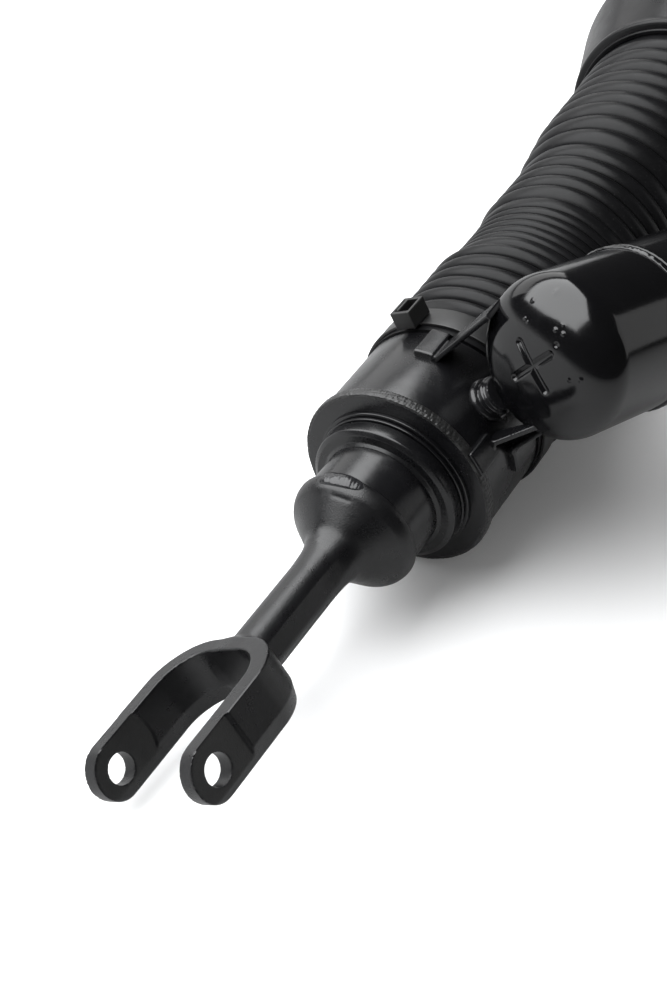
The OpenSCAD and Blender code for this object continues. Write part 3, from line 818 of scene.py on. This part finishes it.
# Height and radius of the line that the crests follow.
CREST_R = (
    (COARSE_Z, 45.2), (COARSE_Z + 9, 46.4), (BULGE_Z, 47), (FINE_Z, 45), (FINE_Z + 8, 44.4),
    (FINE_Z + 24, 44.5), (FINE_Z + 32, 45.1), (MEDIUM_Z, 47), (MEDIUM_Z + 37, 47.2), (WIDE_Z, 49.5),
    (WIDE_Z + 24, 53.1), (WIDE_Z + 57, 54), (BOOT_TOP, 56.4),
)


def crest_r(z):
    return float(np.interp(z, *zip(*CREST_R)))


def fold(z0, z1, depth, n=16):
    """Outline from one crest to the next: half round ridges with a narrow valley between them."""
    out = []
    for i in range(n):
        t = i / n
        drop = depth * (1 - math.sqrt(1 - (1 - abs(2 * t - 1)) ** 2 * 0.985)) / 0.8775
        out.append((crest_r(z0 + (z1 - z0) * t) - drop, z0 + (z1 - z0) * t))
    return out


FINE_DEPTH, COARSE_DEPTH, WIDE_DEPTH = 2.2, 3.9, 3.7
BOOT_WALL = 1.7
BOOT_NECK_R = 55.0
boot_outer = [(CUFF_R, BOOT_LOW), (CUFF_R, COARSE_Z - 5.2), (CUFF_R - 0.9, COARSE_Z - 4.2)]
for z0, z1 in zip(crests, crests[1:]):
    depth = FINE_DEPTH if FINE_Z - 3 < z0 < MEDIUM_Z - 6 else COARSE_DEPTH if z0 < WIDE_Z else WIDE_DEPTH
    boot_outer += fold(z0, z1, depth)
boot_outer += [(crest_r(crests[-1]), crests[-1]), (BOOT_NECK_R, BOOT_TOP - 10), (BOOT_NECK_R, BOOT_TOP)]
boot_inner = [(r - BOOT_WALL, z) for r, z in boot_outer[4:-3]][::-1]
boot_outline = boot_outer + [(BOOT_NECK_R - 2.5, BOOT_TOP), (BOOT_NECK_R - 2.5, BOOT_TOP - 12)] + boot_inner
boot_outline += [(CUFF_R - 2.7, COARSE_Z - 5), (CUFF_R - 2.7, BOOT_LOW)]


def boot_sag(verts):
    """Rubber never stands quite true: its folds wander a little round the strut."""
    b = np.arctan2(verts[:, 1], verts[:, 0])
    z = verts[:, 2]
    free = np.clip((z - 240) / 12, 0, 1) * np.clip((478 - z) / 12, 0, 1)
    verts[:, 2] += free * (0.35 * np.sin(2 * b + z * 0.05) + 0.2 * np.sin(5 * b + z * 0.11))
    swell = 1 + free * (0.0035 * np.sin(3 * b + z * 0.03) + 0.002 * np.sin(7 * b - z * 0.07))
    verts[:, 0] *= swell
    verts[:, 1] *= swell
    return verts


boot = turned(
    "boot_pleated", boot_outline, ["boot"], None, segments=256, ripple=boot_sag, sharp=85, body=False
)
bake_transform(boot)

# ---------- housing ----------

RIM_OUT = 62.0
SEAL_R = RIM_OUT - 4
CAP_R = 60.0
housing_outer = arc(RIM_OUT - 2.0, RIM_Z + 1.9, 2.1, -100, 20, 8)
housing_outer += [(RIM_OUT + 0.4, RIM_Z + 4.2)] + arc(HOUSING_R - 40, RIM_Z + 52, 40, -17, 0, 10)
housing_outer += arc(HOUSING_R - 14, HOUSING_TOP - 14, 14, 0, 90, 10) + [(CAP_R, HOUSING_TOP)]
housing_inner = [(CAP_R, HOUSING_TOP - 2.5)] + arc(HOUSING_R - 14, HOUSING_TOP - 14, 11.5, 90, 0, 8)
housing_inner += arc(HOUSING_R - 42.5, RIM_Z + 52, 40, 0, -17, 8)
housing_inner += [(RIM_OUT - 1.8, RIM_Z + 4.8), (SEAL_R, RIM_Z + 2.2), (SEAL_R, RIM_Z - 0.2)]
turned("housing_shell", housing_outer + housing_inner, ["housing"], None, segments=288, sharp=50)
turned(
    "housing_mouth_seal",
    [(BOOT_NECK_R, RIM_Z - 1.6), (SEAL_R - 0.4, RIM_Z - 2.2), (SEAL_R, RIM_Z - 1.4), (SEAL_R, BOOT_TOP - 1),
     (BOOT_NECK_R, BOOT_TOP - 1)],
    ["housing_rim_seal"],
    [0.6, 0.8, 0.3, 0.2, 0.2],
)

# ---------- rubber and foam inside ----------

cap_under = high("air_sleeve") + 2.0
SLEEVE_IN = ROLL_R + 0.3
FOLD_Z = 440.0
sleeve = [(SLEEVE_IN, 456.8)] + [(SLEEVE_IN, z) for z in np.linspace(452, FOLD_Z, 6)]
sleeve += arc(SLEEVE_IN + 7, FOLD_Z, 7, 180, 360, 24)
sleeve += [(SLEEVE_IN + 14, z) for z in np.linspace(460, cap_under - 2, 12)]
sleeve += [(SLEEVE_IN + 11.4, z) for z in np.linspace(cap_under - 2, 460, 12)]
sleeve += arc(SLEEVE_IN + 7, FOLD_Z, 4.4, 360, 180, 20) + [(SLEEVE_IN + 2.6, 456.8)]
turned("air_sleeve_rolled", sleeve, ["air_sleeve"], None, sharp=60)
for node in ("rod_seal", "gas_piston_seal", "cap_seal"):
    lo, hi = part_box(node)
    outer_r, z0, z1 = hi[0] / MM, lo[2] / MM, hi[2] / MM
    inner_r = {"rod_seal": ROD_R + 0.05, "gas_piston_seal": outer_r - 1.95, "cap_seal": CAP_R}[node]
    lip = (outer_r - inner_r) * 0.2
    turned(
        node + "_ring",
        [(inner_r, z0 + lip), (inner_r + lip, z0), (outer_r - lip, z0), (outer_r, z0 + lip),
         (outer_r, z1 - lip), (outer_r - lip, z1), (inner_r + lip, z1), (inner_r, z1 - lip)],
        [node],
        0.3,
        segments=128,
    )
bump_low, bump_high = low("bump_stop"), high("bump_stop")
turned(
    "bump_stop_foam",
    [(ROD_R + 0.5, bump_low), (16.5, bump_low), (21, bump_low + 5), (21, bump_low + 7),
     (18.5, bump_low + 11), (22, bump_low + 16), (22, bump_high), (ROD_R + 0.5, bump_high)],
    ["bump_stop"],
    [0.5, 3, 2, 2, 2.5, 2.5, 0.4, 0.3],
    segments=128,
)

# ---------- top mount ----------

MOUNT_R, CORE_R, FLANGE_R = 28.0, 14.0, 67.0
STUD_R, STUD_CIRCLE = 5.0, 49.0
PORT_AZ, PORT_CIRCLE, PORT_R = 60.0, 42.0, 2.05
flange_z = HOUSING_TOP + 1.5
core_z = SEAT_Z - 24
stud_angles = (0, 2 * math.pi / 3, 4 * math.pi / 3)
stud_spots = [(STUD_CIRCLE * math.cos(a), STUD_CIRCLE * math.sin(a)) for a in stud_angles]
port_x = PORT_CIRCLE * math.cos(math.radians(PORT_AZ))
port_y = PORT_CIRCLE * math.sin(math.radians(PORT_AZ))


def top_cap_shape(x, y, z):
    radial = np.hypot(x, y)
    plug = meet(radial - CAP_R, slab(z, cap_under, SEAT_Z), 1.4)
    flange = meet(radial - FLANGE_R, slab(z, flange_z, flange_z + 8), 1.6)
    skirt = meet(slab(radial, SLEEVE_IN + 7.4, SLEEVE_IN + 11.4), slab(z, cap_under - 18, cap_under + 3), 0.8)
    d = join(join(plug, flange, 2.0), skirt, 1.0)
    d = meet(d, -np.maximum(radial - MOUNT_R, core_z - z), 0.8)
    d = meet(d, 22.0 - radial, 0.8)
    for sx, sy in stud_spots:
        d = meet(d, STUD_R + 1.02 - np.hypot(x - sx, y - sy), 0.5)
    port = np.hypot(x - port_x, y - port_y)
    d = meet(d, -np.maximum(port - 7.4, SEAT_Z - 1 - z), 0.3)
    return meet(d, -np.maximum(port - 4.5, SEAT_Z - 12 - z), 0.3)


solid("top_cap_casting", top_cap_shape, (-69, -69, cap_under - 20), (69, 69, SEAT_Z + 2), 0.95, ["top_cap"])
turned(
    "mount_bush",
    [(CORE_R, core_z + 0.3), (MOUNT_R, core_z + 0.3), (MOUNT_R, SEAT_Z - 4), (MOUNT_R - 2, SEAT_Z - 2.2),
     (MOUNT_R - 5, SEAT_Z - 2), (CORE_R + 8, SEAT_Z - 5.5), (CORE_R + 4, SEAT_Z - 5.2),
     (CORE_R + 2, SEAT_Z - 2), (CORE_R, SEAT_Z - 2)],
    ["mount_rubber"],
    [0.3, 0.3, 1, 1, 1.5, 2, 1.5, 0.8, 0.2],
)


THREAD_PITCH, THREAD_TIP = 1.5, 1.5


def threaded(name, r, z0, z1, centre, nodes):
    """A plated rod with a thread cut in it and a chamfered tip."""
    n = max(24, int(56 / FINE))
    rows = int((z1 - z0) / 0.16 / FINE)
    z = np.linspace(z0, z1, rows)
    a = np.linspace(0, 2 * math.pi, n, endpoint=False)
    phase = (z[:, None] / THREAD_PITCH - a[None] / (2 * math.pi)) % 1
    depth = 0.6 * THREAD_PITCH * (1 - np.abs(2 * phase - 1))
    ends = np.clip((z - z0) / 1.5, 0, 1)[:, None]
    radius = r - depth * ends
    radius = np.minimum(radius, (r - np.clip(z - (z1 - THREAD_TIP), 0, None))[:, None])
    x, y = np.cos(a) * radius + centre[0], np.sin(a) * radius + centre[1]
    ring = np.stack([x, y, np.broadcast_to(z[:, None], radius.shape)], -1)
    verts = np.vstack([ring.reshape(-1, 3), [[centre[0], centre[1], z0]], [[centre[0], centre[1], z1]]])
    faces = []
    for i in range(rows - 1):
        for k in range(n):
            q = (k + 1) % n
            faces.append((i * n + k, i * n + q, (i + 1) * n + q, (i + 1) * n + k))
    faces += [((k + 1) % n, k, rows * n) for k in range(n)]
    faces += [((rows - 1) * n + k, (rows - 1) * n + (k + 1) % n, rows * n + 1) for k in range(n)]
    return piece(name, verts, faces, nodes, sharp=50, slot="plated_steel", body="upper")


stud_top = high("top_studs")
for i, spot in enumerate(stud_spots):
    threaded(f"stud_{i + 1}", STUD_R, SEAT_Z - 12, stud_top, spot, ["top_studs"] if i == 0 else [])


def hexagon(x, y, across):
    """Distance to a hexagon with that size across its corners, a corner on +X."""
    apothem = across / 2 * math.cos(math.pi / 6)
    d = None
    for k in range(3):
        a = math.radians(30 + 60 * k)
        side = np.abs(x * math.cos(a) + y * math.sin(a)) - apothem
        d = side if d is None else np.maximum(d, side)
    return d


def nut_shape(x, y, z):
    z0 = SEAT_Z + 3
    radial = np.hypot(x, y)
    body = meet(hexagon(x, y, 25.4), slab(z, z0, z0 + 12), 0.3)
    chamfer = radial - 12.4 + 1.7 * np.maximum(z - (z0 + 10.8), 0)
    return np.maximum(np.maximum(body, chamfer), ROD_END_R + 0.05 - radial)


solid("rod_nut_hex", nut_shape, (-14, -14, SEAT_Z + 2), (14, 14, SEAT_Z + 16.5), 0.4, ["rod_nut"], sharp=25)
threaded("rod_end_thread", ROD_END_R + 0.3, SEAT_Z + 3.2, high("piston_rod") - 0.8, (0, 0), [])
turned(
    "rod_washer_disc",
    [(ROD_END_R, SEAT_Z), (24, SEAT_Z), (24, SEAT_Z + 3), (ROD_END_R, SEAT_Z + 3)],
    ["rod_washer"],
    0.5,
    segments=128,
)


def fitting_shape(x, y, z):
    u, v = x - port_x, y - port_y
    r = np.hypot(u, v)
    hexa = meet(hexagon(u, v, 13.8), slab(z, SEAT_Z - 1, SEAT_Z + 8), 0.3)
    hexa = np.maximum(hexa, r - 6.6 + 1.4 * np.maximum(z - SEAT_Z - 7.2, 0))
    barrel = meet(r - 5.6, slab(z, SEAT_Z + 7, SEAT_Z + 14), 0.8)
    groove = np.hypot(r - 5.9, z - SEAT_Z - 10.4) - 0.7
    d = np.maximum(join(hexa, barrel, 0.3), -groove)
    return np.maximum(d, PORT_R - r)


solid(
    "air_fitting_body",
    fitting_shape,
    (port_x - 8, port_y - 8, SEAT_Z - 1.6),
    (port_x + 8, port_y + 8, SEAT_Z + 15),
    0.32,
    ["air_fitting"],
    sharp=25,
)
turned(
    "air_fitting_release",
    [(PORT_R, SEAT_Z + 13), (3.4, SEAT_Z + 13), (3.4, SEAT_Z + 15), (4.0, SEAT_Z + 15.4), (4.0, SEAT_Z + 17),
     (PORT_R, SEAT_Z + 17)],
    ["air_fitting_collet"],
    0.25,
    segments=64,
    frame_to=lambda v: v + np.array([port_x, port_y, 0]),
)

# ---------- floor, lights and camera ----------

RIGHT = Vector((0.69221, 0.50716, 0.51345))
DOWN = Vector((-0.10929, 0.77691, -0.62005))
AHEAD = Vector((-0.71337, 0.37309, 0.59322))
EYE = Vector((486.46, -271.14, -266.05)) * MM
UP = Vector((0.591, -0.807, 0.0)).normalized()
FORWARD = (AHEAD - UP * AHEAD.dot(UP)).normalized()
TARGET = Vector((0, 0, 0.19))


# The strut lies on the side of its housing and on its fork, so the table leans to its axis.
LIE_LOW, LIE_HIGH = high("fork", 0) + 2.0, HOUSING_R + 0.5
LEAN = (LIE_HIGH - LIE_LOW) / (RIM_Z + 50)
TABLE_UP = (UP + Vector((0, 0, LEAN))).normalized()


def table(name, lift, value):
    """A large flat sheet under the strut that can't be seen from below; lift is in millimetres."""
    mesh = bpy.data.meshes.new(name)
    half = 4.0
    across = UP.cross(Vector((0, 0, 1))).normalized()
    along = TABLE_UP.cross(across)
    middle = -UP * (LIE_LOW - lift) * MM
    corners = [middle + (across * sx + along * sy) * half for sx, sy in ((-1, -1), (1, -1), (1, 1), (-1, 1))]
    mesh.from_pydata([tuple(c) for c in corners], [], [(0, 1, 2, 3)])
    if mesh.polygons[0].normal.dot(TABLE_UP) < 0:
        mesh.flip_normals()
    mat = bpy.data.materials.new(name)
    mat.use_nodes = True
    tree = mat.node_tree
    tree.nodes.clear()
    end = tree.nodes.new("ShaderNodeOutputMaterial")
    side = tree.nodes.new("ShaderNodeNewGeometry")
    clear = tree.nodes.new("ShaderNodeBsdfTransparent")
    paint = tree.nodes.new("ShaderNodeBsdfDiffuse")
    paint.inputs["Color"].default_value = (value, value, value, 1)
    pick = tree.nodes.new("ShaderNodeMixShader")
    link(tree, side, "Backfacing", pick, 0)
    tree.links.new(paint.outputs[0], pick.inputs[1])
    tree.links.new(clear.outputs[0], pick.inputs[2])
    tree.links.new(pick.outputs[0], end.inputs["Surface"])
    mesh.materials.append(mat)
    obj = bpy.data.objects.new(name, mesh)
    bpy.context.scene.collection.objects.link(obj)
    return obj


white_table = table("white_table", 0.0, 0.93)
white_table.visible_glossy = False
# A second sheet just above the white one, seen only in reflections: its 0.42 grey is painted shade, so the
# floor the strut reflects looks dimmer than the white floor the camera sees.
reflected_shade_table = table("reflected_shade_table", 0.2, 0.42)
reflected_shade_table.visible_camera = False
reflected_shade_table.visible_diffuse = False
reflected_shade_table.visible_shadow = False


def panel(name, corners, distance, radiance, tint=(1.0, 1.0, 1.0)):
    """A flat glowing panel; its corners are directions (right, ahead, up) seen from the table."""
    ways = [(RIGHT * r + FORWARD * f + UP * u).normalized() for r, f, u in corners]
    middle = sum(ways, Vector()).normalized()
    points = [TARGET + w * (distance / w.dot(middle)) for w in ways]
    mesh = bpy.data.meshes.new(name)
    mesh.from_pydata([tuple(q) for q in points], [], [tuple(range(len(points)))])
    if mesh.polygons[0].normal.dot(middle) > 0:
        mesh.flip_normals()
    mat = bpy.data.materials.new(name)
    mat.use_nodes = True
    nodes = mat.node_tree.nodes
    nodes.clear()
    glow = nodes.new("ShaderNodeEmission")
    glow.inputs["Color"].default_value = (*tint, 1)
    glow.inputs["Strength"].default_value = radiance
    end = nodes.new("ShaderNodeOutputMaterial")
    mat.node_tree.links.new(glow.outputs[0], end.inputs["Surface"])
    mesh.materials.append(mat)
    obj = bpy.data.objects.new(name, mesh)
    bpy.context.scene.collection.objects.link(obj)
    obj.visible_camera = False
    return obj


KEY = (
    (-0.91, 0.34, 0.24), (0.0, 0.81, 0.58), (0.09, 0.2, 0.97),
    (-0.21, -0.42, 0.88), (-0.64, -0.55, 0.53), (-0.93, -0.12, 0.34),
)
RIGHT_SIDE = ((0.98, -0.1, 0.02), (0.9, 0.45, 0.02), (0.8, 0.4, 0.5), (0.86, 0.0, 0.5))
BEHIND = ((-0.8, 0.6, 0.01), (0.15, 0.99, 0.01), (0.06, 0.88, 0.44), (-0.82, 0.48, 0.28))
OVERHEAD = ((-0.8, -0.7, 0.3), (-0.8, 0.7, 0.3), (0.8, 0.7, 0.3), (0.8, -0.7, 0.3))
panel("key_softbox", KEY, 1.7, 5.5, (0.98, 0.99, 1.0))
panel("right_card", RIGHT_SIDE, 2.4, 0.7)
panel("back_card", BEHIND, 2.6, 1.5)
fill = panel("fill_scrim", OVERHEAD, 3.0, 0.5)
fill.visible_glossy = False

world = bpy.data.worlds.new("studio")
bpy.context.scene.world = world
world.use_nodes = True
world.node_tree.nodes["Background"].inputs["Color"].default_value = (1, 1, 1, 1)
world.node_tree.nodes["Background"].inputs["Strength"].default_value = 0.04

cam_data = bpy.data.cameras.new("photo_camera")
cam_data.sensor_width = 36.0
cam_data.lens = 59.4
cam_data.clip_start, cam_data.clip_end = 0.05, 50.0
camera = bpy.data.objects.new("photo_camera", cam_data)
bpy.context.scene.collection.objects.link(camera)
facing = Matrix((RIGHT, -DOWN, -AHEAD)).transposed()
camera.matrix_world = Matrix.Translation(EYE) @ facing.to_4x4()
bpy.context.scene.camera = camera
bpy.context.scene.view_settings.view_transform = "Standard"
